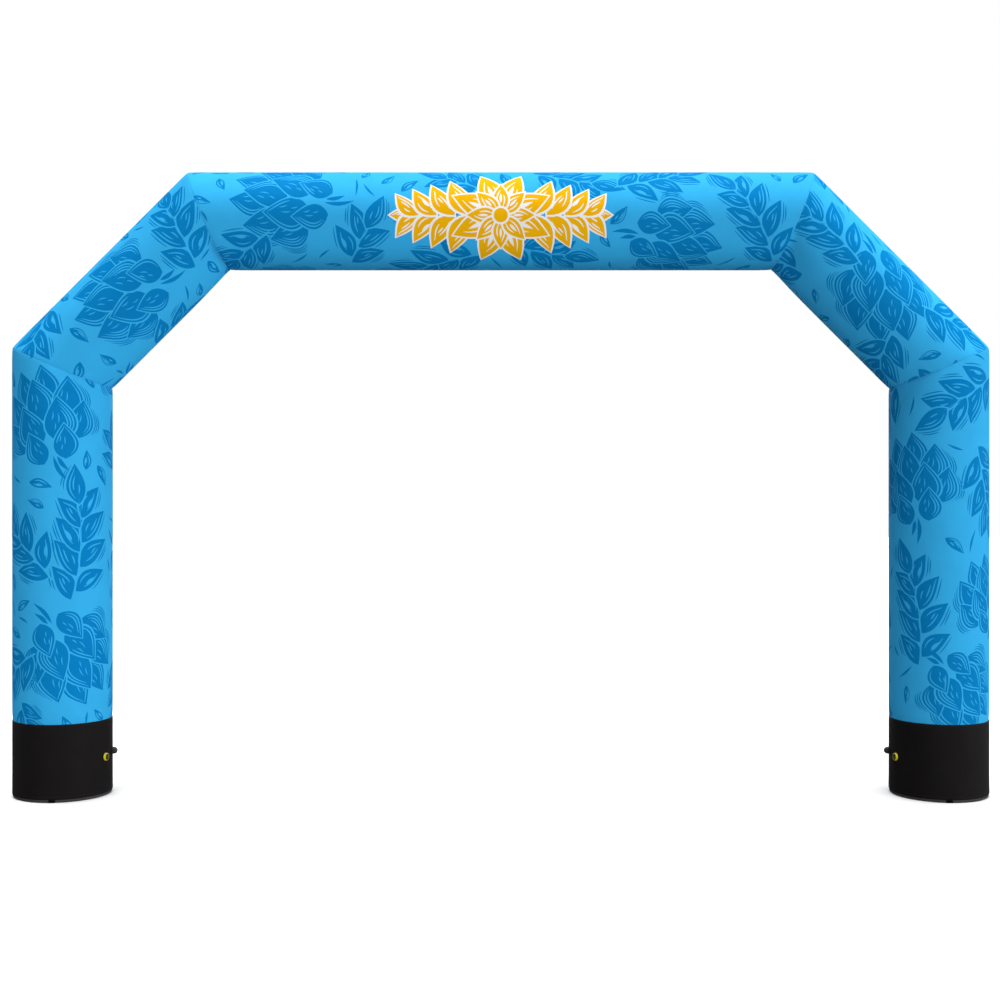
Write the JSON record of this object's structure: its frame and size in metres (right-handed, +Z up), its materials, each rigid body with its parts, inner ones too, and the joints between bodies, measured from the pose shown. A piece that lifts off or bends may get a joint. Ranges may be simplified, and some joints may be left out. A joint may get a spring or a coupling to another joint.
{
  "type": "inflatable arch",
  "caption": "Free-standing inflatable event arch: a printed air tube mitred over the top and standing on black boots, with filling valves and pressure knobs.",
  "frame": {"origin": "on the ground, midway between the two legs, under the middle of the crossbar", "axes": "+X from the left leg to the right leg as the picture shows them, +Z up, the front faces -Y"},
  "size_m": [6.109, 0.605, 3.8908],
  "materials": {
    "printed_cloth": "coated cloth printed in two blues, satin",
    "boot_cloth": "black coated cloth, matt",
    "base_cloth": "dark grey coated cloth, matt",
    "webbing": "black woven webbing",
    "valve_yellow": "yellow moulded plastic, satin",
    "valve_black": "black moulded plastic",
    "knob_black": "black moulded plastic, satin"
  },
  "bodies": {
    "root": {"leg_left": "printed_cloth", "leg_right": "printed_cloth", "diagonal_left": "printed_cloth", "diagonal_right": "printed_cloth", "crossbar": "printed_cloth", "boot_left": "boot_cloth", "boot_right": "boot_cloth", "base_left": "base_cloth", "base_right": "base_cloth", "tab_left": "webbing", "tab_right": "webbing", "valve_seat_left": "valve_black", "valve_seat_right": "valve_black", "valve_ring_left": "valve_yellow", "valve_ring_right": "valve_yellow", "knob_left": "knob_black", "knob_right": "knob_black"}
  },
  "joints": []
}
